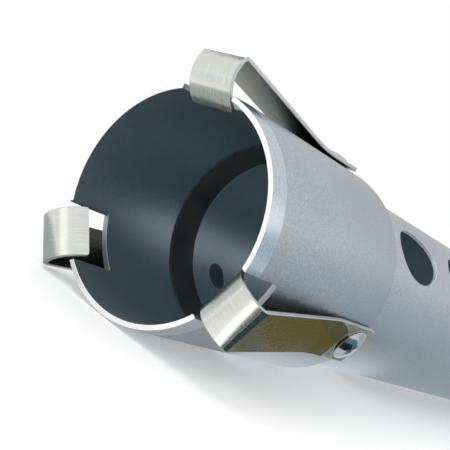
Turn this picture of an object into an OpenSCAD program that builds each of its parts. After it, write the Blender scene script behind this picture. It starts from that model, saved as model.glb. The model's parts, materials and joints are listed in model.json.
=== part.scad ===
// Golf ball retriever: a windowed aluminium tube with a sprung mouth, a foam grip and a pull-out end cap.
// It lies along X with its mouth at -X, and the origin is the middle of the flat face at its butt.

/* [Passage] */
// Diameter that has to pass through the mouth and the tube
pass_d = 42.67; // [41:0.01:52]
// Room round that diameter in the tube
pass_room = 1.1; // [0.6:0.05:1.6]

/* [Mouth cup] */
// Wall of the cup
cup_wall = 1.4; // [1:0.1:1.8]
// Length of the cup from its rim to its rear edge
cup_len = 58.8; // [48:0.1:72]
// Length of the shallow turned bevel behind the rim
rim_bevel_len = 4.9; // [2:0.1:8]
// Depth of that bevel at the rim
rim_bevel_depth = 0.25; // [0.1:0.05:0.4]
// Chamfer of the rear edge
cup_chamfer = 0.3; // [0.1:0.1:0.6]
// Depth of each rim notch, along the tube
notch_depth = 12.3; // [10:0.1:16]
// Room at each side of a clip in its notch
notch_room = 1.1; // [0.5:0.1:2]

/* [Throat ring] */
// Thickness of the ring that fills the space between cup and tube
throat_t = 1.45; // [1:0.05:3]
// Length of the ring behind its funnel
throat_len = 15.2; // [12:0.1:20]
// Length of the funnel that leads into the tube
funnel_len = 6; // [3:0.1:10]
// Thickness of the funnel's two lips
funnel_lip = 0.3; // [0.2:0.1:0.6]
// How far the ring stays inside the rear edge of the cup
throat_recess = 0.6; // [0.2:0.1:2]

/* [Tube] */
// Wall of the tube
tube_wall = 1.2; // [1.1:0.1:1.8]
// Length of the tube
tube_len = 719; // [400:1:1000]
// Middle of the first window, from the rear edge of the cup
window_start = 23.4; // [18:0.1:40]
// Step from window to window along the tube
window_pitch = 34.5; // [32:0.5:60]
// Length of a window, along the tube
window_len = 24.2; // [18:0.1:30]
// Width of a window, round the tube
window_w = 14.6; // [10:0.1:17.6]
// Turn of the window row round the tube, from the first clip
window_turn = 55; // [40:1:80]

/* [Spring clips] */
// Turn of the first clip from straight up, with the tool rolled onto its third clip
clip_turn = -9.5; // [-10:0.1:0]
// Width of the spring strip
strip_w = 11.4; // [9.5:0.1:14]
// Thickness of the spring strip
strip_t = 1; // [0.8:0.05:1.2]
// How far the flex line lies in front of the rear edge of the cup
flex_line = 12; // [10.5:0.1:18.5]
// How far the end of the foot stays in from the rear edge of the cup
foot_setback = 0.3; // [0:0.1:0.5]
// Radius of the soft bend where the leaf leaves the cup
flare_r = 60; // [25:1:90]
// Distance from the rim to the front end of the straight leaf
front_x = 2.3; // [1:0.1:4]
// Height of that end over the foot
front_lift = 6.7; // [5.5:0.1:8.5]
// Radius of the tight bend at the front
front_bend_r = 1.5; // [1.2:0.1:3]
// Turn of the tight bend, in degrees
front_bend = 66; // [50:1:75]
// Radius of the curved tab
tab_r = 7; // [5:0.1:9]
// Turn of the curved tab, in degrees
tab_bend = 89.6; // [70:0.1:95]
// Straight end of the tab
tab_end = 1; // [0.5:0.1:3]

/* [Rivets] */
// Diameter of a rivet's head
rivet_head_d = 9; // [6:0.1:10]
// Height of the domed head
rivet_head_h = 1.6; // [1:0.1:2.4]
// Diameter of a rivet's shank
rivet_d = 4; // [3.2:0.1:5]
// Diameter of the flush tail inside the tube
rivet_tail_d = 7; // [6.4:0.1:7.6]
// Height of that tail
rivet_tail_h = 0.9; // [0.6:0.1:1]
// Distance from a rivet to the rear edge of the cup
rivet_setback = 5; // [4.6:0.1:7]

/* [Grip] */
// Length of the foam grip
grip_len = 140; // [90:1:200]
// Thickness of the foam
grip_t = 2.9; // [2.4:0.1:6]
// Radius of the rounded ends of the foam
grip_end_r = 2; // [1:0.1:2.2]
// Length of the ring at each end of the grip
ring_len = 10; // [8:0.5:16]
// Thickness of those rings
ring_t = 2.1; // [1.7:0.1:3]
// Chamfer of those rings
ring_chamfer = 0.6; // [0.2:0.1:0.8]
// Diameter of the set screw in each ring
set_screw_d = 3; // [2.5:0.1:4]
// Width across the flats of its hexagon socket
set_screw_socket = 1.5; // [1.2:0.1:2]
// Depth of that socket
socket_depth = 1; // [0.6:0.1:1.2]
// How far a set screw is sunk in its ring
screw_sunk = 0.4; // [0.1:0.1:0.5]

/* [End cap] */
// Depth of the plug inside the tube
plug_len = 26; // [21:1:40]
// Wall of the hollow plug
plug_wall = 3.4; // [3:0.1:5]
// Thickness of the plug's floor, under the flange
plug_floor = 3; // [2:0.5:4]
// Chamfer of the plug and of the flange
cap_chamfer = 1.2; // [0.5:0.1:1.6]
// Thickness of the flange
flange_t = 8; // [6.5:0.5:12]
// How far the flange stands out past the tube
flange_lip = 2.35; // [1.5:0.05:5]
// Radius of the thumb groove round the flange
thumb_groove_r = 3; // [2:0.1:4]
// Depth of that groove
thumb_groove_depth = 1.1; // [0.6:0.1:1.6]
// Thickness of the flat gasket under the flange
gasket_t = 1.5; // [1:0.1:2.5]
// How far the gasket stays in from the edge of the flange
gasket_inset = 0.5; // [0.2:0.1:1]
// Thickness of each sealing ring on the plug
seal_t = 2.4; // [2:0.1:3]
// Distance from the end of the tube to the rear sealing ring
seal_setback = 7; // [5:0.5:9]
// Distance between the sealing rings
seal_pitch = 10; // [6:0.5:12]

/* [Hidden] */
// Number of clips round the cup
clip_count = 3;
// Gap between pieces that are glued or pressed together
fit_gap = 0.05;
// Gap under a clip's flat foot where it rests on the round cup
seat_gap = 0.08;
// Gap round a rivet or a set screw
hole_gap = 0.1;
// Gap between the two halves of a clip at its flex line
flex_gap = 0.03;
// Gap between the plug and the tube
plug_gap = 0.15;
// Overshoot of a cut past a surface
cut_over = 1;
// Facets of a window's oval
window_facets = 32;
// Facets of a clip's soft bend, tight bend, curved tab and knuckle
flare_facets = 10;
front_facets = 8;
tab_facets = 14;
knuckle_facets = 12;
$fn = 96;

// Radii from the tool's axis
tube_in_r = pass_d / 2 + pass_room;
tube_r = tube_in_r + tube_wall;
sleeve_in_r = tube_r + fit_gap;
throat_r = sleeve_in_r + throat_t;
cup_in_r = throat_r + fit_gap;
cup_r = cup_in_r + cup_wall;
foot_r = cup_r + seat_gap;
flex_r = foot_r + strip_t / 2;
tail_r = tube_in_r + fit_gap;
grip_r = sleeve_in_r + grip_t;
ring_r = sleeve_in_r + ring_t;
plug_r = tube_in_r - plug_gap;
flange_r = tube_r + flange_lip;
seal_groove_r = tube_in_r - fit_gap - seal_t;

// Stations along the tool, from the rim of the cup
flex_x = cup_len - flex_line;
rivet_x = cup_len - rivet_setback;
throat_back = cup_len - throat_recess;
throat_step = throat_back - throat_len;
funnel_x = throat_step - funnel_len;
tube_front = throat_step + fit_gap;
tube_back = tube_front + tube_len;
butt_ring_x = tube_back - ring_len;
grip_x = butt_ring_x - fit_gap - grip_len;
collar_x = grip_x - fit_gap - ring_len;
plug_x = tube_back - plug_len;
seal_rear_x = tube_back - seal_setback;
seal_front_x = seal_rear_x - seal_pitch;
gasket_x = tube_back + fit_gap;
flange_x = gasket_x + gasket_t + fit_gap;
butt_x = flange_x + flange_t;
window_x = cup_len + window_start;
window_last_x = collar_x - window_len;
window_count = floor((window_last_x - window_x) / window_pitch) + 1;

// Leaf of a clip: the straight line that leaves the soft bend and reaches the front end's place
leaf_reach = norm([flex_x - front_x, flare_r - front_lift]);
leaf_len = sqrt(pow(leaf_reach, 2) - pow(flare_r, 2));
leaf_rise = atan2(front_lift - flare_r, flex_x - front_x) + 90 - acos(flare_r / leaf_reach);

// Large enough to pass right through the tool
through = 4 * cup_r;

// Puts a piece that is laid out from the rim into the part's frame
module from_rim() {
    translate([-butt_x, 0, 0]) children();
}

// Turns an outline of radius and station round the tool's axis
module turned() {
    rotate([0, 90, 0]) rotate_extrude() children();
}

// A round bar along the radius at station x, from radius r1 to radius r2
module radial_bar(x, r1, r2, d1, d2) {
    translate([x, 0, r1]) cylinder(h = r2 - r1, d1 = d1, d2 = d2);
}

// Places a copy at the angle of one clip
module at_clip(number) {
    rotate([clip_turn + (number - 1) * 360 / clip_count, 0, 0]) children();
}

// Places a copy at every clip
module at_clips() {
    for (number = [1 : clip_count]) at_clip(number) children();
}

// Mouth cup: a length of thin tube with a bevelled rim, notched for the clips
module head_cup() {
    color([0.68, 0.69, 0.70]) from_rim() difference() {
        turned() polygon([
            [cup_in_r, 0],
            [cup_r - rim_bevel_depth, 0],
            [cup_r, rim_bevel_len],
            [cup_r, cup_len - cup_chamfer],
            [cup_r - cup_chamfer, cup_len],
            [cup_in_r, cup_len]
        ]);
        at_clips() {
            notch_w = strip_w + 2 * notch_room;
            translate([-cut_over, -notch_w / 2, cup_in_r / 2])
                cube([notch_depth + cut_over, notch_w, cup_r]);
            rivet_hole();
        }
    }
}

// Straight hole for one rivet
module rivet_hole() {
    hole_d = rivet_d + hole_gap;
    radial_bar(rivet_x, tube_in_r / 2, through, hole_d, hole_d);
}

// Throat ring: fills the space between cup and tube, with a funnel in front of the tube's end
module throat_ring() {
    color([0.20, 0.22, 0.23]) from_rim() difference() {
        turned() polygon([
            [throat_r - funnel_lip, funnel_x],
            [throat_r, funnel_x],
            [throat_r, throat_back],
            [sleeve_in_r, throat_back],
            [sleeve_in_r, throat_step],
            [tube_in_r, throat_step],
            [tube_in_r, throat_step - funnel_lip]
        ]);
        at_clips() rivet_hole();
    }
}

// Outline of a window: an oval
module window_outline() {
    polygon([for (i = [0 : window_facets - 1])
        let (a = 360 * i / window_facets)
        [window_len / 2 * cos(a), window_w / 2 * sin(a)]]);
}

// Main tube: a row of windows milled through one side, and sunk holes for the rivets' flush tails
module main_tube() {
    color([0.66, 0.68, 0.69]) from_rim() difference() {
        turned() translate([tube_in_r, tube_front]) square([tube_wall, tube_len]);
        rotate([clip_turn + window_turn, 0, 0]) for (i = [0 : window_count - 1])
            translate([window_x + i * window_pitch, 0, 0])
                linear_extrude(height = through) window_outline();
        at_clips() {
            rivet_hole();
            radial_bar(rivet_x, tail_r - rivet_tail_h, tail_r + rivet_tail_h,
                2 * rivet_tail_d - rivet_d + hole_gap, rivet_d + hole_gap);
        }
    }
}

// Clip foot: the flat end of a spring strip, held down by its rivet
module clip_foot(number) {
    foot_len = flex_line - foot_setback;
    color([0.74, 0.75, 0.73]) from_rim() at_clip(number) difference() {
        translate([flex_x, -strip_w / 2, foot_r]) cube([foot_len, strip_w, strip_t]);
        flex_bar(strip_t + 2 * flex_gap, strip_w + 2 * cut_over);
        rivet_hole();
    }
}

// A bar on the flex line of a clip, round or as wide as asked
module flex_bar(d, w) {
    translate([flex_x, 0, flex_r]) rotate([90, 0, 0]) cylinder(h = w, d = d, center = true);
}

// Points of one bend of a strip's middle line as [x, y, heading], starting from such a point
function bend_points(from, radius, turn, count) = [for (i = [1 : count])
    let (heading = from.z + turn * i / count, side = sign(turn))
    [
        from.x + side * radius * (sin(heading) - sin(from.z)),
        from.y - side * radius * (cos(heading) - cos(from.z)),
        heading
    ]];

// Point at the end of a straight run
function run_point(from, run) = from + run * [cos(from.z), sin(from.z), 0];

// Last point of a list
function last(points) = points[len(points) - 1];

// Outer or inner face of a strip, from its middle line
function strip_face(points, side) = [for (p = points)
    [p.x, p.y] + side * strip_t / 2 * [-sin(p.z), cos(p.z)]];

// Side view of a clip arm: a round knuckle on the flex line, soft bend, leaf, tight bend and curved tab
module arm_outline() {
    flare = concat([[0, 0, 0]], bend_points([0, 0, 0], flare_r, leaf_rise, flare_facets));
    leaf_end = run_point(last(flare), leaf_len);
    front = concat([leaf_end], bend_points(leaf_end, front_bend_r, -front_bend, front_facets));
    tab = bend_points(last(front), tab_r, -tab_bend, tab_facets);
    middle = concat(flare, front, tab, [run_point(last(tab), tab_end)]);
    knuckle = [for (i = [1 : knuckle_facets - 1])
        let (a = 90 + 180 * i / knuckle_facets) strip_t / 2 * [cos(a), sin(a)]];
    outer = strip_face(middle, 1);
    polygon(concat(knuckle, strip_face(middle, -1), [for (i = [len(outer) - 1 : -1 : 0]) outer[i]]));
}

// Clip arm: the leaf that springs away from the cup, and its tab that turns in through the notch
module clip_arm(number) {
    color([0.78, 0.79, 0.77]) from_rim() at_clip(number)
        translate([flex_x, 0, flex_r]) mirror([1, 0, 0]) rotate([90, 0, 0])
            linear_extrude(height = strip_w, center = true) arm_outline();
}

// Rivet: domed head on the foot, shank through clip, cup, ring and tube, and a tail set flush inside
module clip_rivet(number) {
    dome_r = (pow(rivet_head_d / 2, 2) + pow(rivet_head_h, 2)) / (2 * rivet_head_h);
    head_seat = foot_r + strip_t + fit_gap;
    color([0.80, 0.82, 0.84]) from_rim() at_clip(number) translate([rivet_x, 0, 0]) rotate_extrude() {
        intersection() {
            translate([0, head_seat + rivet_head_h - dome_r]) circle(r = dome_r);
            translate([0, head_seat]) square([rivet_head_d, rivet_head_h]);
        }
        polygon([
            [0, tail_r],
            [rivet_tail_d / 2, tail_r],
            [rivet_d / 2, tail_r + rivet_tail_h],
            [rivet_d / 2, head_seat],
            [0, head_seat]
        ]);
    }
}

// Ring at one end of the grip, with a hole for its set screw
module grip_ring(x) {
    difference() {
        turned() polygon([
            [sleeve_in_r, x],
            [ring_r - ring_chamfer, x],
            [ring_r, x + ring_chamfer],
            [ring_r, x + ring_len - ring_chamfer],
            [ring_r - ring_chamfer, x + ring_len],
            [sleeve_in_r, x + ring_len]
        ]);
        hole_d = set_screw_d + hole_gap;
        radial_bar(x + ring_len / 2, tube_r / 2, through, hole_d, hole_d);
    }
}

// Grip collar: aluminium ring that stops the foam from creeping forward
module grip_collar() {
    color([0.62, 0.64, 0.66]) from_rim() grip_ring(collar_x);
}

// Butt ring: the same ring at the open end of the tube
module butt_ring() {
    color([0.62, 0.64, 0.66]) from_rim() grip_ring(butt_ring_x);
}

// Set screws of the two rings, each with a hexagon socket
module grip_screws() {
    color([0.30, 0.31, 0.32]) from_rim() for (x = [collar_x, butt_ring_x]) difference() {
        radial_bar(x + ring_len / 2, sleeve_in_r, ring_r - screw_sunk, set_screw_d, set_screw_d);
        translate([x + ring_len / 2, 0, ring_r - screw_sunk - socket_depth])
            cylinder(h = socket_depth + cut_over, d = set_screw_socket / cos(30), $fn = 6);
    }
}

// Grip sleeve: soft foam stretched over the tube, with rounded outer edges
module grip_sleeve() {
    color([0.13, 0.13, 0.14]) from_rim() turned() {
        translate([sleeve_in_r, grip_x]) square([grip_t - grip_end_r, grip_len]);
        translate([sleeve_in_r, grip_x + grip_end_r]) square([grip_t, grip_len - 2 * grip_end_r]);
        intersection() {
            translate([sleeve_in_r, grip_x]) square([grip_t, grip_len]);
            for (x = [grip_x + grip_end_r, grip_x + grip_len - grip_end_r])
                translate([grip_r - grip_end_r, x]) circle(r = grip_end_r);
        }
    }
}

// End cap: a hollow plug with a thumb groove round its flange, pulled out to empty the tube
module end_cap() {
    groove_r = seal_groove_r - fit_gap;
    groove_w = seal_t + 2 * fit_gap;
    color([0.10, 0.10, 0.11]) from_rim() turned() difference() {
        polygon([
            [0, plug_x],
            [plug_r - cap_chamfer, plug_x],
            [plug_r, plug_x + cap_chamfer],
            [plug_r, flange_x],
            [flange_r, flange_x],
            [flange_r, butt_x - cap_chamfer],
            [flange_r - cap_chamfer, butt_x],
            [0, butt_x]
        ]);
        translate([-cut_over, plug_x - cut_over])
            square([plug_r - plug_wall + cut_over, plug_len - plug_floor + cut_over]);
        for (x = [seal_front_x, seal_rear_x])
            translate([groove_r, x - groove_w / 2]) square([tube_r, groove_w]);
        translate([flange_r + thumb_groove_r - thumb_groove_depth, flange_x + flange_t / 2])
            circle(r = thumb_groove_r);
    }
}

// Cap gasket: a flat rubber ring between the flange and the end of the tube
module cap_gasket() {
    gasket_in_r = plug_r + plug_gap;
    color([0.16, 0.16, 0.16]) from_rim() turned()
        translate([gasket_in_r, gasket_x]) square([flange_r - gasket_inset - gasket_in_r, gasket_t]);
}

// Sealing ring that holds the plug in the tube by friction
module cap_seal(x) {
    color([0.12, 0.12, 0.12]) from_rim() turned()
        translate([seal_groove_r + seal_t / 2, x]) circle(d = seal_t);
}

head_cup();
throat_ring();
main_tube();
clip_foot(1);  // clip_foot_1
clip_foot(2);  // clip_foot_2
clip_foot(3);  // clip_foot_3
clip_arm(1);  // clip_arm_1
clip_arm(2);  // clip_arm_2
clip_arm(3);  // clip_arm_3
clip_rivet(1);  // clip_rivet_1
clip_rivet(2);  // clip_rivet_2
clip_rivet(3);  // clip_rivet_3
grip_collar();
grip_sleeve();
butt_ring();
grip_screws();
end_cap();
cap_gasket();
cap_seal(seal_front_x);  // cap_seal_front
cap_seal(seal_rear_x);  // cap_seal_rear
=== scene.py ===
import json
import math

import bpy
from mathutils import Matrix, Vector, noise


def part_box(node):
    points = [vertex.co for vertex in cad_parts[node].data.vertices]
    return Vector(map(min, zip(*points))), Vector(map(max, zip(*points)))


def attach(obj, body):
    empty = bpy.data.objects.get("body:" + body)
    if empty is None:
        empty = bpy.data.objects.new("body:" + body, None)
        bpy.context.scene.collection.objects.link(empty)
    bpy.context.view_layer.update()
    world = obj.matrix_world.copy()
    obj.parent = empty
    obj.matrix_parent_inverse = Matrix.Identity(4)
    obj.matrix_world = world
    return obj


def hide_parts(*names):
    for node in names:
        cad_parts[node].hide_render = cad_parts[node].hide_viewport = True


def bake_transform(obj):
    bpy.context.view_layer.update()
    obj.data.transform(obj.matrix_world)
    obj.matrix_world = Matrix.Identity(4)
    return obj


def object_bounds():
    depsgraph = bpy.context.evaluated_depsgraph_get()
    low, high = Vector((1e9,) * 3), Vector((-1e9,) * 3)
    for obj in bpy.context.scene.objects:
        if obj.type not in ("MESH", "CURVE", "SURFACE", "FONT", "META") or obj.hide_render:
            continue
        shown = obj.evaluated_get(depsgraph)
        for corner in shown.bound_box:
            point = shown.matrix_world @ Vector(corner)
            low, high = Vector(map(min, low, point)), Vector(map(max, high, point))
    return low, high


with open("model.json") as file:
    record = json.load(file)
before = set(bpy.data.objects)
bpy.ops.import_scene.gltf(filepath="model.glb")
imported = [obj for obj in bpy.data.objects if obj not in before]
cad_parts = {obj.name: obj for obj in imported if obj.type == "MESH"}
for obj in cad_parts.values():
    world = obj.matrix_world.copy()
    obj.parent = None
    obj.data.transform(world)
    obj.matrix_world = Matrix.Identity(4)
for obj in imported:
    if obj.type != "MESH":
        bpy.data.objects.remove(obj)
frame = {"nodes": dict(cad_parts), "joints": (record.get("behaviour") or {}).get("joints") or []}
cad_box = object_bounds()

# Main tube: one length of drawn aluminium tube, bead blasted to an even satin grey.
# A row of oval windows is milled through one side of it, to show how full it is and
# let water run out.
TUBE_WALL = 0.0012
WINDOW_START = 0.0234
WINDOW_PITCH = 0.0345
WINDOW_LENGTH = 0.0242
WINDOW_WIDTH = 0.0146
WINDOW_TURN = math.radians(55)
CELL_HALF_TURN = math.radians(36)
CELL_STEPS_ALONG = 16
CELL_STEPS_ROUND = 18
CELL_RINGS = (0, 0.05, 0.15, 0.3, 0.5, 0.75, 1)
BAND_STEPS = 72
TUBE_EDGE = 0.0002
BROKEN_EDGE_STEPS = 2
BROKEN_EDGE_ANGLE = math.radians(35)
SHARP_ANGLE = math.radians(30)
TUBE_OUTSIDE, TUBE_INSIDE, WINDOW_EDGE = range(3)
TUBE_PALE = (0.528, 0.566, 0.604, 1)
TUBE_DARK = (0.310, 0.340, 0.370, 1)
# Inside: the bore's own unblasted aluminium, painted lighter and blue-green to stand in for the light that
# the shaded bore shows.
INSIDE_PAINTED_PALE = (0.53, 0.655, 0.69, 1)
INSIDE_PAINTED_DARK = (0.425, 0.525, 0.55, 1)
# Window edges: bright cut metal, made near white and partly dull, so that they carry a painted sheen under
# any light.
MILLED_SHEEN_PALE = (0.86, 0.92, 0.97, 1)
MILLED_SHEEN_DARK = (0.76, 0.82, 0.87, 1)
MILLED_SHEEN_METALLIC = 0.45
NOISE_LOW, NOISE_HIGH = 0.3, 0.7
BLAST_GRAIN = 0.00042
BLAST_CONTRAST = (0.28, 0.72)
BLAST_CLOUD = 0.02
BLAST_CLOUD_SHARE = 0.35
# Painted shade: how far the tone darkens at the end of a shaded span.
BLAST_PAINTED_SHADE_SHARE = 0.5
BLAST_ROUGHNESS = (0.36, 0.5)
BLAST_DEPTH = 0.00003
BLAST_RELIEF = 0.5

tube_low, tube_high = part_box("main_tube")
cup_low, cup_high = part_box("head_cup")
collar_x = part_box("grip_collar")[0].x
tube_r = tube_high.y
tube_in_r = tube_r - TUBE_WALL
cup_rear_x = cup_high.x
joints = {joint["name"]: joint for joint in frame["joints"]}


def clip_angle(number):
    """Turn of one clip round the tool, from straight up."""
    axis = joints[f"clip_{number}_flex"]["axis"]
    return math.atan2(axis[2], axis[1])


def point_at(x, angle, r):
    """Point at station x and radius r, turned by angle from straight up."""
    return (x, -r * math.sin(angle), r * math.cos(angle))


class Shell:
    """Points and faces of a mesh in the making, with a material number for each face."""

    def __init__(self):
        self.points, self.faces, self.slots, self.known = [], [], [], {}

    def point(self, key, place):
        """Number of the point with this key, made on first use."""
        if key not in self.known:
            self.known[key] = len(self.points)
            self.points.append(place)
        return self.known[key]

    def face(self, corners, slot=0):
        """One face, from the numbers of its corners."""
        self.faces.append(corners)
        self.slots.append(slot)

    def band(self, first, second, slot=0):
        """Four-sided faces between two closed rings of points."""
        for i in range(len(first)):
            j = (i + 1) % len(first)
            self.face([first[i], first[j], second[j], second[i]], slot)

    def piece(self, name, materials, sharp=SHARP_ANGLE):
        """The finished mesh as an object, smooth except at its sharp edges."""
        mesh = bpy.data.meshes.new(name)
        mesh.from_pydata(self.points, [], self.faces)
        for material in materials:
            mesh.materials.append(material)
        mesh.polygons.foreach_set("material_index", self.slots)
        mesh.shade_smooth()
        mesh.set_sharp_from_angle(angle=sharp)
        mesh.update()
        made = bpy.data.objects.new(name, mesh)
        bpy.context.scene.collection.objects.link(made)
        return made


def round_edges(piece, width):
    """Breaks the sharp edges of a piece, as deburring does."""
    bevel = piece.modifiers.new("broken_edges", "BEVEL")
    bevel.width = width
    bevel.segments = BROKEN_EDGE_STEPS
    bevel.limit_method = "ANGLE"
    bevel.angle_limit = BROKEN_EDGE_ANGLE
    bevel.harden_normals = True


class Finish:
    """A material in the making: its shader with constant sockets, and nodes that feed it."""

    def __init__(self, name, **sockets):
        self.material = bpy.data.materials.new(name)
        self.material.use_nodes = True
        self.nodes = self.material.node_tree.nodes
        self.shader = self.nodes["Principled BSDF"]
        for socket, value in sockets.items():
            self.shader.inputs[socket.replace("_", " ")].default_value = value
        self.place = self.add("TexCoord").outputs["Object"]

    def feed(self, value, socket):
        """Sets a socket to a constant, or links another node's output to it."""
        if isinstance(value, bpy.types.NodeSocket):
            self.material.node_tree.links.new(value, socket)
        else:
            socket.default_value = value

    def add(self, kind, settings=None, **inputs):
        """A node with its settings and its inputs, by name or as _ and a number."""
        node = self.nodes.new("ShaderNode" + kind)
        for setting, value in (settings or {}).items():
            setattr(node, setting, value)
        for name, value in inputs.items():
            key = int(name[1:]) if name[0] == "_" else name.replace("_", " ")
            self.feed(value, node.inputs[key])
        return node

    def station(self):
        """Place along the tool."""
        return self.add("SeparateXYZ", Vector=self.place).outputs[0]

    def speckle(self, size, detail=2.0):
        """Soft noise with grains of about this size."""
        return self.add("TexNoise", Vector=self.place, Scale=1 / size, Detail=detail).outputs[0]

    def spread(self, value, low, high, start=NOISE_LOW, stop=NOISE_HIGH):
        """Value from start to stop, spread over low to high."""
        ends = {"From_Min": start, "From_Max": stop, "To_Min": low, "To_Max": high}
        return self.add("MapRange", Value=value, **ends).outputs[0]

    def mix(self, share, first, second):
        """Colour between two others."""
        return self.add("Mix", {"data_type": "RGBA"}, _0=share, _6=first, _7=second).outputs[2]

    def colour(self, value):
        """Feeds the shader's colour."""
        self.feed(value, self.shader.inputs["Base Color"])

    def roughness(self, value):
        """Feeds the shader's roughness."""
        self.feed(value, self.shader.inputs["Roughness"])

    def bump(self, height, depth, strength):
        """Fine relief of this depth."""
        relief = self.add("Bump", Height=height, Distance=depth, Strength=strength)
        self.feed(relief.outputs[0], self.shader.inputs["Normal"])


def blasted_finish(name, pale, dark, painted_shade_span=None, metallic=1.0):
    """Bead-blasted aluminium: bright and dark grains, faint clouds, and painted shade that darkens it
    between two stations.
    """
    finish = Finish(name, Metallic=metallic)
    grain = finish.speckle(BLAST_GRAIN)
    cloud = finish.speckle(BLAST_CLOUD, detail=3)
    tone = finish.mix(finish.spread(grain, 0, 1, *BLAST_CONTRAST), dark, pale)
    tone = finish.mix(finish.spread(cloud, 0, BLAST_CLOUD_SHARE), tone, dark)
    # Painted shade: the tone darkens from the first station to the second.
    if painted_shade_span:
        tone = finish.mix(finish.spread(finish.station(), 0, BLAST_PAINTED_SHADE_SHARE, *painted_shade_span), tone, dark)
    finish.colour(tone)
    finish.roughness(finish.spread(grain, *BLAST_ROUGHNESS))
    finish.bump(grain, BLAST_DEPTH, BLAST_RELIEF)
    return finish.material


window_x = cup_rear_x + WINDOW_START
window_count = math.floor((collar_x - WINDOW_LENGTH - window_x) / WINDOW_PITCH) + 1
row_angle = clip_angle(1) + WINDOW_TURN
cells_x = window_x - WINDOW_PITCH / 2
cell_length_step = WINDOW_PITCH / CELL_STEPS_ALONG
cell_turn_step = 2 * CELL_HALF_TURN / CELL_STEPS_ROUND
band_turn_step = (2 * math.pi - 2 * CELL_HALF_TURN) / BAND_STEPS
column_count = CELL_STEPS_ROUND + BAND_STEPS
tube = Shell()


def tube_point(r, station, column):
    """Point of the tube's plain grid: the windows' columns come first, then those of the plain band."""
    column %= column_count
    cell_columns = min(column, CELL_STEPS_ROUND)
    turn = cell_columns * cell_turn_step + (column - cell_columns) * band_turn_step
    ends = {"front": tube_low.x, "back": tube_high.x}
    x = ends[station] if station in ends else cells_x + station * cell_length_step
    return tube.point((r, station, column), point_at(x, row_angle - CELL_HALF_TURN + turn, r))


def cell_edge():
    """Points round the edge of one window's cell, as steps along and round the tube."""
    along, around = CELL_STEPS_ALONG, CELL_STEPS_ROUND
    return ([(i, 0) for i in range(along)] + [(along, i) for i in range(around)]
            + [(along - i, around) for i in range(along)] + [(0, around - i) for i in range(around)])


def window_ring(r, window, share):
    """Ring of points between a window's oval, share 0, and the edge of its cell, share 1."""
    made = []
    for along, around in cell_edge():
        if share == 1:
            made.append(tube_point(r, window * CELL_STEPS_ALONG + along, around))
            continue
        edge_x = (along - CELL_STEPS_ALONG / 2) * cell_length_step
        edge_turn = around * cell_turn_step - CELL_HALF_TURN
        edge_y = edge_turn * tube_r
        reach = 1 / math.hypot(edge_x / (WINDOW_LENGTH / 2), edge_y / (WINDOW_WIDTH / 2))
        oval_turn = math.asin(edge_y * reach / r)
        x = window_x + window * WINDOW_PITCH + edge_x * (reach + (1 - reach) * share)
        turn = row_angle + oval_turn + (edge_turn - oval_turn) * share
        made.append(tube.point((r, window, share, along, around), point_at(x, turn, r)))
    return made


def tube_wall(r, slot):
    """Outer or inner surface of the tube, with a ringed patch round each window."""
    inside = r < tube_r
    stations = ["front", *range(window_count * CELL_STEPS_ALONG + 1), "back"]
    for first, second in zip(stations, stations[1:]):
        plain_end = first == "front" or second == "back"
        for column in range(0 if plain_end else CELL_STEPS_ROUND, column_count):
            corners = [tube_point(r, first, column), tube_point(r, first, column + 1),
                       tube_point(r, second, column + 1), tube_point(r, second, column)]
            tube.face(corners[::-1] if inside else corners, slot)
    for window in range(window_count):
        rings = [window_ring(r, window, share) for share in CELL_RINGS]
        for inner, outer in zip(rings, rings[1:]):
            if inside:
                tube.band(outer, inner, slot)
            else:
                tube.band(inner, outer, slot)


def end_ring(r, station):
    """Ring of points at one end of the tube."""
    return [tube_point(r, station, column) for column in range(column_count)]


tube_wall(tube_r, TUBE_OUTSIDE)
tube_wall(tube_in_r, TUBE_INSIDE)
for window in range(window_count):
    tube.band(window_ring(tube_in_r, window, 0), window_ring(tube_r, window, 0), WINDOW_EDGE)
tube.band(end_ring(tube_in_r, "front"), end_ring(tube_r, "front"), TUBE_OUTSIDE)
tube.band(end_ring(tube_r, "back"), end_ring(tube_in_r, "back"), TUBE_OUTSIDE)
# The tube's and cup's insides share one finish with painted light: lighter and more blue-green than the
# outside.
painted_inside = blasted_finish("drawn_inside_painted_light", INSIDE_PAINTED_PALE, INSIDE_PAINTED_DARK)
tube_piece = tube.piece("tube_with_windows", [
    blasted_finish("blasted_tube", TUBE_PALE, TUBE_DARK),
    painted_inside,
    # The windows' milled edges: cut metal, paler than the blasted tube, with a near-white painted sheen.
    blasted_finish("milled_edge_painted_sheen", MILLED_SHEEN_PALE, MILLED_SHEEN_DARK, metallic=MILLED_SHEEN_METALLIC),
])
round_edges(tube_piece, TUBE_EDGE)
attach(tube_piece, "retriever")
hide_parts("main_tube")

# Throat ring: a moulded ring of dark plastic, glued between the tube and the wider cup.
# Its funnel leads over the tube's end, so that nothing catches on the way in.
THROAT_LENGTH = 0.0152
FUNNEL_LIP = 0.0003
FIT_GAP = 0.00005
TURN_STEPS = 144
THROAT_DARK = (0.028, 0.033, 0.035, 1)
THROAT_PALE = (0.045, 0.052, 0.055, 1)
THROAT_GRAIN = 0.0003
THROAT_ROUGHNESS = 0.42
MOULD_CLOUD = 0.012
MOULD_GLOSSIER, MOULD_DULLER = 0.06, 0.08
MOULD_DEPTH = 0.00004
MOULD_RELIEF = 0.6


def revolved(name, outline, material, sharp=SHARP_ANGLE):
    """Piece turned round the tool's axis from a closed outline of (x, radius)."""
    shell = Shell()
    rings = []
    for i, (x, r) in enumerate(outline):
        places = [point_at(x, 2 * math.pi * k / TURN_STEPS, r) for k in range(TURN_STEPS)]
        rings.append([shell.point((i, k), place) for k, place in enumerate(places)])
    for first, second in zip(rings, rings[1:] + rings[:1]):
        shell.band(first, second)
    return shell.piece(name, [material], sharp)


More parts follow.
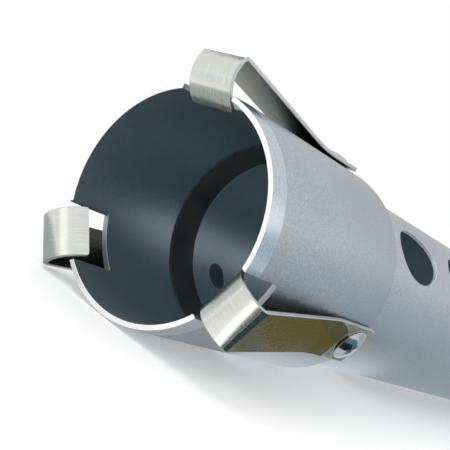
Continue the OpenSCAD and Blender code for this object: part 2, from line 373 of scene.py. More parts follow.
def moulded_finish(name, dark, pale, grain_size, roughness):
    """Moulded plastic or rubber: a fine spark-eroded grain, with a slightly uneven tone and gloss."""
    finish = Finish(name)
    grain = finish.speckle(grain_size, detail=3)
    cloud = finish.speckle(MOULD_CLOUD)
    finish.colour(finish.mix(finish.spread(cloud, 0, 1), dark, pale))
    finish.roughness(finish.spread(cloud, roughness - MOULD_GLOSSIER, roughness + MOULD_DULLER))
    finish.bump(grain, MOULD_DEPTH, MOULD_RELIEF)
    return finish.material


throat_low, throat_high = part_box("throat_ring")
throat_r = throat_high.y
throat_back = throat_high.x
throat_step = throat_back - THROAT_LENGTH
throat_outline = [
    (throat_low.x, throat_r - FUNNEL_LIP),
    (throat_low.x, throat_r),
    (throat_back, throat_r),
    (throat_back, tube_r + FIT_GAP),
    (throat_step, tube_r + FIT_GAP),
    (throat_step, tube_in_r),
    (throat_step - FUNNEL_LIP, tube_in_r),
]
throat_plastic = moulded_finish("throat_plastic", THROAT_DARK, THROAT_PALE, THROAT_GRAIN, THROAT_ROUGHNESS)
throat_piece = revolved("throat_funnel", throat_outline, throat_plastic)
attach(throat_piece, "retriever")
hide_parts("throat_ring")

# Mouth cup: a short length of wider aluminium tube, blasted like the main tube.
# Its rim is turned bright, with a shallow bevel behind it, and three notches are milled
# into the rim to let the clips' tabs through.
CUP_WALL = 0.0014
RIM_BEVEL_LENGTH = 0.0049
RIM_BEVEL_DEPTH = 0.00025
CUP_CHAMFER = 0.0003
NOTCH_DEPTH = 0.0123
NOTCH_WIDTH = 0.0136
NOTCH_STEPS = 10
WALL_STEPS = 38
CUP_STATIONS = (0.018, 0.026, 0.034, 0.042, 0.05)
CUP_EDGE = 0.00012
# Length of the painted shade before the cup's rear edge.
CUP_PAINTED_SHADE_LENGTH = 0.034
CUP_OUTSIDE, CUP_BEVEL, CUP_RIM, CUP_INSIDE = range(4)
CUP_PALE = (0.525, 0.565, 0.60, 1)
CUP_DARK = (0.308, 0.338, 0.366, 1)
BEVEL_PALE = (0.51, 0.57, 0.62, 1)
BEVEL_DARK = (0.43, 0.48, 0.53, 1)
BEVEL_ROUGHNESS = 0.24
RIM_PALE = (0.98, 0.99, 0.99, 1)
RIM_DARK = (0.93, 0.94, 0.95, 1)
RIM_ROUGHNESS = 0.3
CUP_TOOL_MARK = 0.0002
TURNED_GRAIN = 0.0006
TURNED_GLOSSIER, TURNED_DULLER = 0.05, 0.07
TURNED_DEPTH = 0.000008
TURNED_RELIEF = 0.5
CLIPS = (1, 2, 3)


def turned_finish(name, pale, dark, tool_mark, roughness):
    """Turned metal: fine rings of tool marks round the axis, over a faint grain."""
    finish = Finish(name, Metallic=1.0)
    along = {"W": finish.station(), "Scale": 1 / tool_mark, "Detail": 2.0}
    marks = finish.add("TexNoise", {"noise_dimensions": "1D"}, **along).outputs[0]
    grain = finish.speckle(TURNED_GRAIN)
    finish.colour(finish.mix(finish.spread(grain, 0, 1), dark, pale))
    finish.roughness(finish.spread(marks, roughness - TURNED_GLOSSIER, roughness + TURNED_DULLER))
    finish.bump(marks, TURNED_DEPTH, TURNED_RELIEF)
    return finish.material


cup_r = cup_high.y
cup_in_r = cup_r - CUP_WALL
rim_x = cup_low.x
cup_length = cup_rear_x - rim_x
clip_turn = 2 * math.pi / len(CLIPS)
clip_columns = NOTCH_STEPS + WALL_STEPS
cup_columns = len(CLIPS) * clip_columns
rim_stations = (0, RIM_BEVEL_LENGTH, (RIM_BEVEL_LENGTH + NOTCH_DEPTH) / 2, NOTCH_DEPTH)
cup_stations = rim_stations + CUP_STATIONS + (cup_length - CUP_CHAMFER,)
cup_outline = [(x, cup_r) for x in cup_stations]
cup_outline[0] = (0, cup_r - RIM_BEVEL_DEPTH)
cup_outline += [(cup_length, cup_r - CUP_CHAMFER), (cup_length, cup_in_r)]
cup_outline += [(x, cup_in_r) for x in reversed(cup_stations)]
corner_count = len(cup_outline)
rim_corners = len(rim_stations)
cup = Shell()


def cup_angle(column, r):
    """Angle of one of the cup's columns: each clip has its notch's columns first, then the wall's."""
    clip, step = divmod(column, clip_columns)
    middle = clip_angle(1) + clip * clip_turn
    half = math.asin(NOTCH_WIDTH / 2 / r)
    if step <= NOTCH_STEPS:
        return middle + half * (2 * step / NOTCH_STEPS - 1)
    share = (step - NOTCH_STEPS) / WALL_STEPS
    return middle + half + (clip_turn - 2 * half) * share


def cup_point(corner, column):
    """Point of the cup's grid, on one corner of its outline."""
    x, r = cup_outline[corner]
    column %= cup_columns
    return cup.point((corner, column), point_at(rim_x + x, cup_angle(column, r), r))


def cup_face(first, second, column, slot):
    """Face of the cup's grid, between two corners of its outline and two columns."""
    cup.face([cup_point(first, column), cup_point(first, column + 1),
              cup_point(second, column + 1), cup_point(second, column)], slot)


for corner in range(corner_count):
    after = (corner + 1) % corner_count
    in_rim = max(cup_outline[corner][0], cup_outline[after][0]) <= NOTCH_DEPTH
    slot = CUP_OUTSIDE
    if corner == 0:
        slot = CUP_BEVEL
    elif after == 0:
        slot = CUP_RIM
    elif cup_outline[corner][1] == cup_outline[after][1] == cup_in_r:
        slot = CUP_INSIDE
    for column in range(cup_columns):
        in_notch = column % clip_columns < NOTCH_STEPS
        if not (in_rim and in_notch):
            cup_face(corner, after, column, slot)
for clip in range(len(CLIPS)):
    left = clip * clip_columns
    right = left + NOTCH_STEPS
    for corner in range(rim_corners - 1):
        inner, next_inner = corner_count - 1 - corner, corner_count - 2 - corner
        side = (inner, next_inner, corner + 1, corner)
        cup.face([cup_point(k, left) for k in side], CUP_OUTSIDE)
        cup.face([cup_point(k, right) for k in reversed(side)], CUP_OUTSIDE)
    for column in range(left, right):
        cup_face(corner_count - rim_corners, rim_corners - 1, column, CUP_OUTSIDE)
cup_piece = cup.piece("mouth_cup", [
    # The cup's outside darkens over its last 34 mm towards the rear edge: painted shade.
    blasted_finish("blasted_cup", CUP_PALE, CUP_DARK, painted_shade_span=(cup_rear_x - CUP_PAINTED_SHADE_LENGTH, cup_rear_x)),
    turned_finish("turned_bevel", BEVEL_PALE, BEVEL_DARK, CUP_TOOL_MARK, BEVEL_ROUGHNESS),
    turned_finish("turned_rim", RIM_PALE, RIM_DARK, CUP_TOOL_MARK, RIM_ROUGHNESS),
    painted_inside,
])
round_edges(cup_piece, CUP_EDGE)
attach(cup_piece, "retriever")
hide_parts("head_cup")

# Spring clips: three strips of spring steel, sheared, brushed along their length and bent.
# Each lies flat on the cup at its foot, springs away from the flex line on, and turns in
# through its notch in a tight bend and a curved tab.
STRIP_WIDTH = 0.0114
STRIP_THICKNESS = 0.001
STRIP_EDGE_R = 0.00022
STRIP_EDGE_STEPS = 3
STRIP_CORNER_R = 0.0005
STRIP_CORNER_SHARES = (0.4, 0.3, 0.2, 0.1)
FOOT_SETBACK = 0.0003
FLARE_R = 0.060
FRONT_X = 0.0023
FRONT_LIFT = 0.0067
FRONT_BEND_R = 0.0015
FRONT_BEND = math.radians(66)
TAB_R = 0.007
TAB_BEND = math.radians(89.6)
TAB_END = 0.001
FOOT_STEPS, FLARE_STEPS, LEAF_STEPS = 8, 12, 12
FRONT_STEPS, TAB_STEPS = 12, 26
STRIP_SHARP_ANGLE = math.radians(50)
UPPER_FACE, SHADED_UNDER_FACE, SHEARED_EDGE = range(3)
STEEL_PALE = (0.75, 0.765, 0.72, 1)
STEEL_DARK = (0.61, 0.625, 0.58, 1)
STEEL_ROUGHNESS = 0.22
# The foot's and leaf's face towards the cup: a dark olive copy of the same steel. This is painted shade
# for the gap under the strip, which the cup's surface also mirrors.
UNDER_SHADE_PALE = (0.128, 0.131, 0.095, 1)
UNDER_SHADE_DARK = (0.088, 0.09, 0.064, 1)
UNDER_ROUGHNESS = 0.24
SHEARED_PALE = (0.52, 0.54, 0.53, 1)
SHEARED_DARK = (0.42, 0.44, 0.43, 1)
SHEARED_ROUGHNESS = 0.34
SCRATCH_WIDTH, SCRATCH_LENGTH = 0.00012, 0.006
SCRATCH_GLOSSIER, SCRATCH_DULLER = 0.05, 0.06
SCRATCH_DEPTH = 0.000003
SCRATCH_RELIEF = 0.5
STAIN_SIZE = 0.006
STAIN_SHARE = 0.5


def brushed_finish(name, pale, dark, roughness):
    """Rolled spring steel: fine scratches along the strip, which its own map follows round the bends."""
    finish = Finish(name, Metallic=1.0)
    strip_map = finish.add("UVMap", {"uv_map": "strip"}).outputs[0]
    fineness = (1 / SCRATCH_WIDTH, 1 / SCRATCH_LENGTH, 1)
    stretched = finish.add("Mapping", Vector=strip_map, Scale=fineness).outputs[0]
    scratches = finish.add("TexNoise", Vector=stretched, Scale=1.0, Detail=3.0).outputs[0]
    stains = finish.speckle(STAIN_SIZE, detail=3)
    tone = finish.mix(finish.spread(scratches, 0, 1), dark, pale)
    finish.colour(finish.mix(finish.spread(stains, 0, STAIN_SHARE), tone, dark))
    finish.roughness(finish.spread(scratches, roughness - SCRATCH_GLOSSIER, roughness + SCRATCH_DULLER))
    finish.bump(scratches, SCRATCH_DEPTH, SCRATCH_RELIEF)
    return finish.material


def bend(path, radius, turn, steps):
    """Adds one bend to a strip's middle line of (forward, up, heading)."""
    forward, up, heading = path[-1]
    side = math.copysign(1, turn)
    for i in range(1, steps + 1):
        now = heading + turn * i / steps
        path.append((forward + side * radius * (math.sin(now) - math.sin(heading)),
                     up - side * radius * (math.cos(now) - math.cos(heading)), now))


def run(path, length, steps):
    """Adds one straight run to a strip's middle line."""
    forward, up, heading = path[-1]
    for i in range(1, steps + 1):
        path.append((forward + length * i / steps * math.cos(heading),
                     up + length * i / steps * math.sin(heading), heading))


def rounded_end(path, shares):
    """Adds the short steps that the rounded corners of a strip's end need."""
    for share in shares:
        run(path, STRIP_CORNER_R * share, 1)


flex = Vector(joints["clip_1_flex"]["pos_m"])
flex_r = math.hypot(flex.y, flex.z)
foot_length = cup_rear_x - FOOT_SETBACK - flex.x
leaf_forward = flex.x - rim_x - FRONT_X
leaf_reach = math.hypot(leaf_forward, FLARE_R - FRONT_LIFT)
leaf_length = math.sqrt(leaf_reach ** 2 - FLARE_R ** 2)
leaf_aim = math.atan2(FRONT_LIFT - FLARE_R, leaf_forward)
leaf_rise = leaf_aim + math.pi / 2 - math.acos(FLARE_R / leaf_reach)
strip_path = [(-foot_length, 0, 0)]
rounded_end(strip_path, reversed(STRIP_CORNER_SHARES))
run(strip_path, foot_length - STRIP_CORNER_R, FOOT_STEPS)
bend(strip_path, FLARE_R, leaf_rise, FLARE_STEPS)
run(strip_path, leaf_length, LEAF_STEPS)
leaf_end = len(strip_path) - 1
bend(strip_path, FRONT_BEND_R, -FRONT_BEND, FRONT_STEPS)
bend(strip_path, TAB_R, -TAB_BEND, TAB_STEPS)
run(strip_path, TAB_END - STRIP_CORNER_R, 1)
rounded_end(strip_path, STRIP_CORNER_SHARES)
travels = [0]
for (x1, y1, _), (x2, y2, _) in zip(strip_path, strip_path[1:]):
    travels.append(travels[-1] + math.hypot(x2 - x1, y2 - y1))


def strip_section(half_width):
    """Corners of the strip's section as (across, over), with rounded edges."""
    half = STRIP_THICKNESS / 2 - STRIP_EDGE_R
    corners = []
    for start, (side, over) in enumerate(((1, 1), (-1, 1), (-1, -1), (1, -1))):
        for i in range(STRIP_EDGE_STEPS + 1):
            turn = (start + i / STRIP_EDGE_STEPS) * math.pi / 2
            corners.append((side * (half_width - STRIP_EDGE_R) + STRIP_EDGE_R * math.cos(turn),
                            over * half + STRIP_EDGE_R * math.sin(turn)))
    return corners


def corner_inset(travel):
    """How far a strip's side is drawn in near its end, for the rounded corner there."""
    short = max(0, STRIP_CORNER_R - travel)
    return STRIP_CORNER_R - math.sqrt(STRIP_CORNER_R ** 2 - short ** 2)


def clip_axes(number):
    """Directions at one clip: straight out from the tool's axis, and across the strip."""
    turn = clip_angle(number)
    return Vector(point_at(0, turn, 1)), Vector((0, math.cos(turn), math.sin(turn)))


strip_finishes = [
    brushed_finish("spring_steel", STEEL_PALE, STEEL_DARK, STEEL_ROUGHNESS),
    # The face towards the cup carries painted shade.
    brushed_finish("under_face_painted_shade", UNDER_SHADE_PALE, UNDER_SHADE_DARK, UNDER_ROUGHNESS),
    brushed_finish("sheared_edge", SHEARED_PALE, SHEARED_DARK, SHEARED_ROUGHNESS),
]
upper_side = STRIP_EDGE_STEPS
under_side = upper_side + 2 * (STRIP_EDGE_STEPS + 1)
for number in CLIPS:
    radial, across = clip_axes(number)
    shell = Shell()
    rings, ring_maps = [], []
    for i, ((forward, up, heading), travel) in enumerate(zip(strip_path, travels)):
        middle = Vector((flex.x - forward, 0, 0)) + radial * (flex_r + up)
        over = radial * math.cos(heading) + Vector((math.sin(heading), 0, 0))
        section = strip_section(STRIP_WIDTH / 2 - corner_inset(min(travel, travels[-1] - travel)))
        places = [middle + across * aside + over * above for aside, above in section]
        rings.append([shell.point((i, k), place) for k, place in enumerate(places)])
        ring_maps.append([(aside, travel) for aside, above in section])
    corner_maps = []
    for i in range(len(rings) - 1):
        for k in range(len(section)):
            j = (k + 1) % len(section)
            slot = SHEARED_EDGE
            if k in (upper_side, under_side):
                # The foot's and leaf's faces towards the cup take the steel with painted shade.
                slot = SHADED_UNDER_FACE if k == under_side and i < leaf_end else UPPER_FACE
            shell.face([rings[i][k], rings[i + 1][k], rings[i + 1][j], rings[i][j]], slot)
            corner_maps += [ring_maps[i][k], ring_maps[i + 1][k], ring_maps[i + 1][j], ring_maps[i][j]]
    shell.face(rings[0])
    shell.face(rings[-1][::-1])
    corner_maps += ring_maps[0] + ring_maps[-1][::-1]
    clip_piece = shell.piece(f"spring_clip_{number}", strip_finishes, STRIP_SHARP_ANGLE)
    strip_map = clip_piece.data.uv_layers.new(name="strip")
    for loop, place in enumerate(corner_maps):
        strip_map.data[loop].uv = place
    even = clip_piece.modifiers.new("even_faces", "WEIGHTED_NORMAL")
    even.keep_sharp = True
    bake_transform(clip_piece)
    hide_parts(f"clip_foot_{number}", f"clip_arm_{number}")

# Rivets: polished steel, one through each clip, the cup, the throat ring and the tube.
# The factory head is a low dome outside, and the tail is set flat against the tube's bore.
RIVET_SETBACK = 0.005
RIVET_HEAD_D = 0.009
RIVET_HEAD_HEIGHT = 0.0016
RIVET_HEAD_LAND = 0.0003
RIVET_D = 0.004
RIVET_TAIL_D = 0.007
RIVET_TAIL_HEIGHT = 0.0009
RIVET_TAIL_PROUD = 0.00004
RIVET_TAIL_RINGS = (0.3, 0.65, 1)
RIVET_EDGE = 0.00012
RIVET_STEPS = 48
DOME_STEPS = 14
SEAT_GAP = 0.00008
RIVET_PALE = (0.47, 0.50, 0.53, 1)
RIVET_DARK = (0.39, 0.42, 0.45, 1)
RIVET_ROUGHNESS = 0.15
POLISH_MARK = 0.0008
POLISH_GLOSSIER, POLISH_DULLER = 0.03, 0.05
POLISH_DEPTH = 0.00001
POLISH_RELIEF = 0.4


def polished_finish(name, pale, dark, roughness):
    """Tumbled steel: almost a mirror, with faint soft marks."""
    finish = Finish(name, Metallic=1.0)
    marks = finish.speckle(POLISH_MARK, detail=4)
    finish.colour(finish.mix(finish.spread(marks, 0, 1), dark, pale))
    finish.roughness(finish.spread(marks, roughness - POLISH_GLOSSIER, roughness + POLISH_DULLER))
    finish.bump(marks, POLISH_DEPTH, POLISH_RELIEF)
    return finish.material


rivet_steel = polished_finish("rivet_steel", RIVET_PALE, RIVET_DARK, RIVET_ROUGHNESS)
rivet_x = cup_rear_x - RIVET_SETBACK
head_seat = cup_r + SEAT_GAP + STRIP_THICKNESS + FIT_GAP
dome_height = RIVET_HEAD_HEIGHT - RIVET_HEAD_LAND
dome_r = (RIVET_HEAD_D ** 2 / 4 + dome_height ** 2) / (2 * dome_height)
dome_turn = math.asin(RIVET_HEAD_D / 2 / dome_r)
dome_middle = head_seat + RIVET_HEAD_HEIGHT - dome_r
rivet_outline = [(share * RIVET_TAIL_D / 2, tube_in_r) for share in RIVET_TAIL_RINGS]
rivet_outline += [
    (RIVET_D / 2, tube_in_r + FIT_GAP + RIVET_TAIL_HEIGHT),
    (RIVET_D / 2, head_seat),
    (RIVET_HEAD_D / 2, head_seat),
]
for i in range(DOME_STEPS):
    turn = dome_turn * (1 - i / DOME_STEPS)
    rivet_outline.append((dome_r * math.sin(turn), dome_middle + dome_r * math.cos(turn)))
for number in CLIPS:
    radial, across = clip_axes(number)
    shell = Shell()
    rings = []
    for i, (r, height) in enumerate(rivet_outline):
        rings.append([])
        for k in range(RIVET_STEPS):
            along = r * math.cos(2 * math.pi * k / RIVET_STEPS)
            aside = r * math.sin(2 * math.pi * k / RIVET_STEPS)
            if i < len(RIVET_TAIL_RINGS):
                height = math.sqrt((tube_in_r - RIVET_TAIL_PROUD) ** 2 - aside ** 2)
            place = Vector((rivet_x + along, 0, 0)) + across * aside + radial * height
            rings[-1].append(shell.point((i, k), place))
    for first, second in zip(rings, rings[1:]):
        shell.band(first, second)
    shell.face(rings[0][::-1])
    shell.face(rings[-1])
    rivet_piece = shell.piece(f"rivet_{number}", [rivet_steel])
    round_edges(rivet_piece, RIVET_EDGE)
    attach(rivet_piece, "retriever")
    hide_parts(f"clip_rivet_{number}")

# Grip rings: two turned aluminium rings, chamfered, that keep the foam from creeping.
# Each slides on the tube and is held by a small socket set screw of blackened steel.
RING_PALE = (0.62, 0.63, 0.645, 1)
RING_DARK = (0.52, 0.53, 0.545, 1)
RING_TOOL_MARK = 0.00025
RING_ROUGHNESS = 0.26
SCREW_PALE = (0.10, 0.10, 0.105, 1)
SCREW_DARK = (0.05, 0.05, 0.053, 1)
SCREW_ROUGHNESS = 0.35


def refinish(piece, material):
    """Gives a new finish to a piece that keeps the shape it has."""
    piece.data.materials.clear()
    piece.data.materials.append(material)


turned_ring = turned_finish("turned_aluminium", RING_PALE, RING_DARK, RING_TOOL_MARK, RING_ROUGHNESS)
for node in ("grip_collar", "butt_ring"):
    ring = frame["nodes"][node]
    refinish(ring, turned_ring)
screws = frame["nodes"]["grip_screws"]
refinish(screws, polished_finish("dark_steel", SCREW_PALE, SCREW_DARK, SCREW_ROUGHNESS))

# Foam grip: a sleeve of closed-cell foam, cut to length and stretched over the tube.
# Its ends round over, and its skin is finely pored and a little uneven.
GRIP_THICKNESS = 0.0029
GRIP_END_R = 0.002
GRIP_STEPS = 90
GRIP_END_STEPS = 8
GRIP_SHARP_ANGLE = math.radians(60)
GRIP_UNEVEN = 0.00012
GRIP_LUMPS_PER_METRE = 120
FOAM_DARK = (0.010, 0.010, 0.011, 1)
FOAM_PALE = (0.030, 0.030, 0.032, 1)
FOAM_ROUGHNESS = 0.92
FOAM_SPECULAR = 0.25
FOAM_PORE = 0.0011
FOAM_GRAIN = 0.0004
FOAM_CONTRAST = (0.05, 0.45)
FOAM_DEPTH = 0.00025
FOAM_RELIEF = 0.8


def foam_finish(name):
    """Closed-cell foam: fine pores in a dull skin."""
    finish = Finish(name, Roughness=FOAM_ROUGHNESS, Specular_IOR_Level=FOAM_SPECULAR)
    pores = finish.add("TexVoronoi", Vector=finish.place, Scale=1 / FOAM_PORE).outputs["Distance"]
    grain = finish.speckle(FOAM_GRAIN, detail=4)
    skin = finish.add("Math", {"operation": "MULTIPLY"}, _0=pores, _1=grain).outputs[0]
    finish.colour(finish.mix(finish.spread(skin, 0, 1, *FOAM_CONTRAST), FOAM_DARK, FOAM_PALE))
    finish.bump(skin, FOAM_DEPTH, FOAM_RELIEF)
    return finish.material


grip_low, grip_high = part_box("grip_sleeve")
grip_in_r = tube_r + FIT_GAP
grip_r = grip_in_r + GRIP_THICKNESS
grip_straight = grip_high.x - grip_low.x - 2 * GRIP_END_R
grip_front = [(grip_low.x, grip_in_r)]
for i in range(GRIP_END_STEPS + 1):
    turn = math.pi / 2 * i / GRIP_END_STEPS
    grip_front.append((grip_low.x + GRIP_END_R * (1 - math.cos(turn)),
                       grip_r - GRIP_END_R * (1 - math.sin(turn))))
grip_outline = list(grip_front)
for i in range(1, GRIP_STEPS):
    grip_outline.append((grip_low.x + GRIP_END_R + grip_straight * i / GRIP_STEPS, grip_r))
grip_outline += [(grip_low.x + grip_high.x - x, r) for x, r in reversed(grip_front)]
grip_piece = revolved("foam_grip", grip_outline, foam_finish("grip_foam"), sharp=GRIP_SHARP_ANGLE)
for vertex in grip_piece.data.vertices:
    place = vertex.co.copy()
    r = math.hypot(place.y, place.z)
    if r > grip_in_r + GRIP_THICKNESS / 2:
        sunk = GRIP_UNEVEN * (0.5 + 0.5 * noise.noise(place * GRIP_LUMPS_PER_METRE))
        vertex.co = Vector((place.x, place.y * (1 - sunk / r), place.z * (1 - sunk / r)))
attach(grip_piece, "retriever")
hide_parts("grip_sleeve")

# End cap: moulded black plastic, a hollow plug with a thumb groove round its flange.
# It is pulled out of the tube's butt to empty it.
CAP_DARK = (0.012, 0.012, 0.013, 1)
CAP_PALE = (0.022, 0.022, 0.024, 1)
CAP_GRAIN = 0.0005
CAP_ROUGHNESS = 0.4

cap = frame["nodes"]["end_cap"]
refinish(cap, moulded_finish("cap_plastic", CAP_DARK, CAP_PALE, CAP_GRAIN, CAP_ROUGHNESS))

# Cap seals: a flat gasket under the flange and two round rings in the plug's grooves.
# They are cut and moulded from soft black rubber, and hold the plug by friction.
RUBBER_DARK = (0.010, 0.010, 0.010, 1)
RUBBER_PALE = (0.020, 0.020, 0.020, 1)
RUBBER_GRAIN = 0.0004
RUBBER_ROUGHNESS = 0.62

rubber = moulded_finish("seal_rubber", RUBBER_DARK, RUBBER_PALE, RUBBER_GRAIN, RUBBER_ROUGHNESS)
for node in ("cap_gasket", "cap_seal_front", "cap_seal_rear"):
    seal = frame["nodes"][node]
    refinish(seal, rubber)

# Studio: a plain pale floor under a white surround, with soft lamps.
# Camera, glossy and transmission rays see the surround as white, and the floor keeps
# the tool's shadow.
WHITE = (1, 1, 1, 1)
SURROUND_LIGHT = 0.95
SURROUND_SEEN = 1.0
FLOOR_SIZE = 8.0
FLOOR_COLOUR = (0.8, 0.8, 0.8, 1)
FLOOR_GLOW = 0.28


def seen_rays(nodes, links):
    """1 for the rays that show the background: camera, glossy and transmission rays."""
    path = nodes.new("ShaderNodeLightPath")
    seen = path.outputs["Is Camera Ray"]
    for ray in ("Is Glossy Ray", "Is Transmission Ray"):
        either = nodes.new("ShaderNodeMath")
        either.operation = "MAXIMUM"
        links.new(seen, either.inputs[0])
        links.new(path.outputs[ray], either.inputs[1])
        seen = either.outputs[0]
    return seen


world = bpy.data.worlds.new("white_surround")
bpy.context.scene.world = world
world.use_nodes = True
nodes, links = world.node_tree.nodes, world.node_tree.links
strength = nodes.new("ShaderNodeMapRange")
links.new(seen_rays(nodes, links), strength.inputs["Value"])
strength.inputs["To Min"].default_value = SURROUND_LIGHT
strength.inputs["To Max"].default_value = SURROUND_SEEN
nodes["Background"].inputs["Color"].default_value = WHITE
links.new(strength.outputs[0], nodes["Background"].inputs["Strength"])

floor_z = cad_box[0].z
floor_material = bpy.data.materials.new("pale_floor")
floor_material.use_nodes = True
nodes, links = floor_material.node_tree.nodes, floor_material.node_tree.links
floor_shader = nodes["Principled BSDF"]
floor_shader.inputs["Base Color"].default_value = FLOOR_COLOUR
floor_shader.inputs["Roughness"].default_value = 1.0
floor_shader.inputs["Specular IOR Level"].default_value = 0.0
floor_shader.inputs["Emission Color"].default_value = WHITE
glow = nodes.new("ShaderNodeMath")
glow.operation = "MULTIPLY"
glow.inputs[1].default_value = FLOOR_GLOW
links.new(seen_rays(nodes, links), glow.inputs[0])
links.new(glow.outputs[0], floor_shader.inputs["Emission Strength"])


def sheet(name, corners, material):
    """One flat face that is part of the studio."""
    shell = Shell()
    shell.face([shell.point(k, corner) for k, corner in enumerate(corners)])
    made = shell.piece(name, [material])
    return made


def floor_patch(x, y, height=0):
    """Corners of a rectangle that lies on the floor, or just above it."""
    return [(x[0], y[0], floor_z + height), (x[1], y[0], floor_z + height),
            (x[1], y[1], floor_z + height), (x[0], y[1], floor_z + height)]


def soft_lamp(name, place, aim, size, power):
    """Square soft box that shines from one point towards another."""
    lamp = bpy.data.lights.new(name, "AREA")
    lamp.size = size
    lamp.energy = power
    made = bpy.data.objects.new(name, lamp)
    made.location = place
    made.rotation_euler = (Vector(aim) - Vector(place)).to_track_quat("-Z", "Y").to_euler()
    bpy.context.scene.collection.objects.link(made)


floor_reach = (-FLOOR_SIZE / 2, FLOOR_SIZE / 2)
sheet("floor", floor_patch(x=floor_reach, y=floor_reach), floor_material)
mouth = (rim_x, 0, 0)
soft_lamp("key_lamp", place=(-1.3, 0.3, 1.2), aim=mouth, size=0.8, power=3)
soft_lamp("front_lamp", place=(-1.93, 0.31, 0.28), aim=mouth, size=0.5, power=0.35)
soft_lamp("bevel_lamp", place=(-0.05, -0.60, 0.39), aim=mouth, size=0.3, power=0.17)
soft_lamp("back_lamp", place=(0.2, 1.6, 1.1), aim=(-0.4, 0, 0), size=1.0, power=4)

# Reflector cards: coloured sheets that lie and stand round the tool, for the bare metal to
# mirror, named for the surface that shows them or for where they are. Only glossy rays see
# them, so they cast no shadow and no light on dull surfaces.
CARD_HEIGHT = 0.0001
BROWN = (0.135, 0.108, 0.030, 1)
DARK_OLIVE = (0.10, 0.10, 0.045, 1)
GREY_OLIVE = (0.12, 0.125, 0.09, 1)
OLIVE = (0.22, 0.21, 0.17, 1)
SLATE = (0.03, 0.055, 0.06, 1)
MID_GREY = (0.125, 0.15, 0.155, 1)
NAVY = (0.012, 0.022, 0.04, 1)
BLUE = (0.15, 0.28, 0.37, 1)
MOSS_GREY = (0.155, 0.19, 0.165, 1)
FOOT_GREY = (0.165, 0.20, 0.185, 1)
TAB_GREY = (0.57, 0.64, 0.69, 1)
SIDE_GREY = (0.60, 0.71, 0.80, 1)
TUBE_GREY = (0.56, 0.65, 0.67, 1)
PALE_GREY = (0.47, 0.51, 0.51, 1)
OFF_WHITE = (0.80, 0.81, 0.82, 1)
FRONT_WHITE = (0.92, 0.93, 0.96, 1)
UNDER_WHITE = (1.05, 1.1, 1.12, 1)
BAND_WHITE = (1.8, 1.8, 1.8, 1)
LEAF_SCREEN_X = -0.7236
LEAF_SCREEN_Y = (-0.042, -0.0256, -0.0232)
LEAF_SCREEN_Z = (floor_z, -0.0112, -0.0066)
BEND_FRONT = (-0.7705, -0.034)
BEND_CORNER = (-0.81, -0.085)
RIVET_CARDS_Y = (-0.062, -0.0385)
SIDE_FEET = ((-0.20, -0.60), (0.35, -0.30))


def mirror_card(name, colour, corners):
    """Sheet of one colour that only glossy rays see."""
    material = bpy.data.materials.new(name)
    material.use_nodes = True
    shader = material.node_tree.nodes["Principled BSDF"]
    shader.inputs["Base Color"].default_value = (0, 0, 0, 1)
    shader.inputs["Specular IOR Level"].default_value = 0.0
    shader.inputs["Emission Color"].default_value = colour
    shader.inputs["Emission Strength"].default_value = 1.0
    card = sheet(name, corners, material)
    card.visible_camera = False
    card.visible_diffuse = False
    card.visible_transmission = False
    card.visible_shadow = False


def floor_card(name, colour, x, y):
    """Rectangular card on the floor."""
    mirror_card(name, colour, floor_patch(x, y, CARD_HEIGHT))


def cut_card(name, colour, *corners):
    """Card on the floor, cut to corners of (x, y)."""
    mirror_card(name, colour, [(x, y, floor_z + CARD_HEIGHT) for x, y in corners])


def screen(name, colour, feet, low, high):
    """Card that stands upright over two feet of (x, y)."""
    corners = [(x, y, low) for x, y in feet] + [(x, y, high) for x, y in reversed(feet)]
    mirror_card(name, colour, corners)


leaf_feet = [(LEAF_SCREEN_X, y) for y in LEAF_SCREEN_Y]
floor_card("leaf_card", GREY_OLIVE, x=(-0.742, -0.724), y=(-0.041, -0.024))
cut_card("leaf_front_card", OLIVE, BEND_FRONT, (-0.742, -0.041), (-0.742, -0.024), (-0.758, -0.024))
screen("leaf_screen", BROWN, leaf_feet[:2], *LEAF_SCREEN_Z[:2])
screen("leaf_low_screen", GREY_OLIVE, leaf_feet[1:], *LEAF_SCREEN_Z[:2])
screen("leaf_top_screen", DARK_OLIVE, leaf_feet[::2], *LEAF_SCREEN_Z[1:])
cut_card("bend_card", SLATE, BEND_FRONT, BEND_CORNER, (-0.72, -0.085), (-0.72, -0.0415), (-0.74, -0.0415))
cut_card("bend_side_card", MID_GREY, (-0.7705, -0.0325), (-0.84, -0.056), BEND_CORNER)
cut_card("band_card", BAND_WHITE, (-0.7705, -0.032), (-0.84, -0.026), (-0.84, -0.0555))
cut_card("front_card", FRONT_WHITE, (-0.84, -0.024), (-1.2, -0.1), (-1.2, 0.5), (-0.84, 0.06))
floor_card("rivet_card", NAVY, x=(-0.7195, -0.688), y=RIVET_CARDS_Y)
floor_card("rivet_side_card", MOSS_GREY, x=(-0.6875, -0.656), y=RIVET_CARDS_Y)
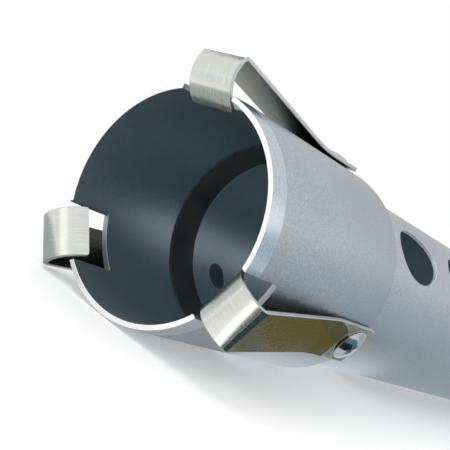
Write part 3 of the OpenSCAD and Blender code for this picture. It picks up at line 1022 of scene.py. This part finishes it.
cut_card("rivet_far_card", BLUE, (-0.7195, -0.12), (-0.625, -0.12), (-0.655, -0.0625), (-0.7195, -0.0625))
floor_card("foot_card", FOOT_GREY, x=(-0.700, -0.680), y=(-0.038, -0.0295))
screen("tab_screen", TAB_GREY, ((-0.76, 0.4), (-1.04, 0.4)), floor_z, 0.08)
floor_card("tab_card", PALE_GREY, x=(-0.82, -0.765), y=(0.015, 0.06))
floor_card("under_card", UNDER_WHITE, x=(-0.735, -0.66), y=(-0.022, 0.02))
floor_card("tube_card", TUBE_GREY, x=(-0.655, 0.35), y=(-0.06, 0.0))
cut_card("side_card", SIDE_GREY, (-0.655, -0.061), (-0.60, -0.12), *SIDE_FEET, (0.35, -0.061))
screen("side_screen", SIDE_GREY, SIDE_FEET, floor_z, 0.22)
screen("back_screen", OFF_WHITE, ((0.25, 0.1), (-0.1, 0.75)), 0.05, 0.6)
mirror_card("overhead_card", OLIVE, [(-0.87, 0.11, 0.326), (-0.67, 0.11, 0.326),
                                     (-0.67, 0.242, 0.234), (-0.87, 0.242, 0.234)])

# Camera: close to the mouth, low in front of it and to one side, rolled over.
# Its place, turn and lens are fitted to the outlines of the rim, the cup and the tube.
CAMERA_PLACE = (-0.91919, -0.12570, 0.01589)
CAMERA_HEADING = math.radians(36.464)
CAMERA_DOWN = math.radians(3.98)
CAMERA_ROLL = math.radians(29.43)
CAMERA_LENS = 75.43
CAMERA_SENSOR = 36.0
CAMERA_NEAR = 0.01

camera_data = bpy.data.cameras.new("camera")
camera_data.lens = CAMERA_LENS
camera_data.sensor_width = CAMERA_SENSOR
camera_data.clip_start = CAMERA_NEAR
camera = bpy.data.objects.new("camera", camera_data)
bpy.context.scene.collection.objects.link(camera)
heading = Matrix.Rotation(CAMERA_HEADING - math.pi / 2, 4, "Z")
pitch = Matrix.Rotation(math.pi / 2 - CAMERA_DOWN, 4, "X")
roll = Matrix.Rotation(CAMERA_ROLL, 4, "Z")
camera.matrix_world = Matrix.Translation(CAMERA_PLACE) @ heading @ pitch @ roll
bpy.context.scene.camera = camera
bpy.context.scene.view_settings.view_transform = "Standard"
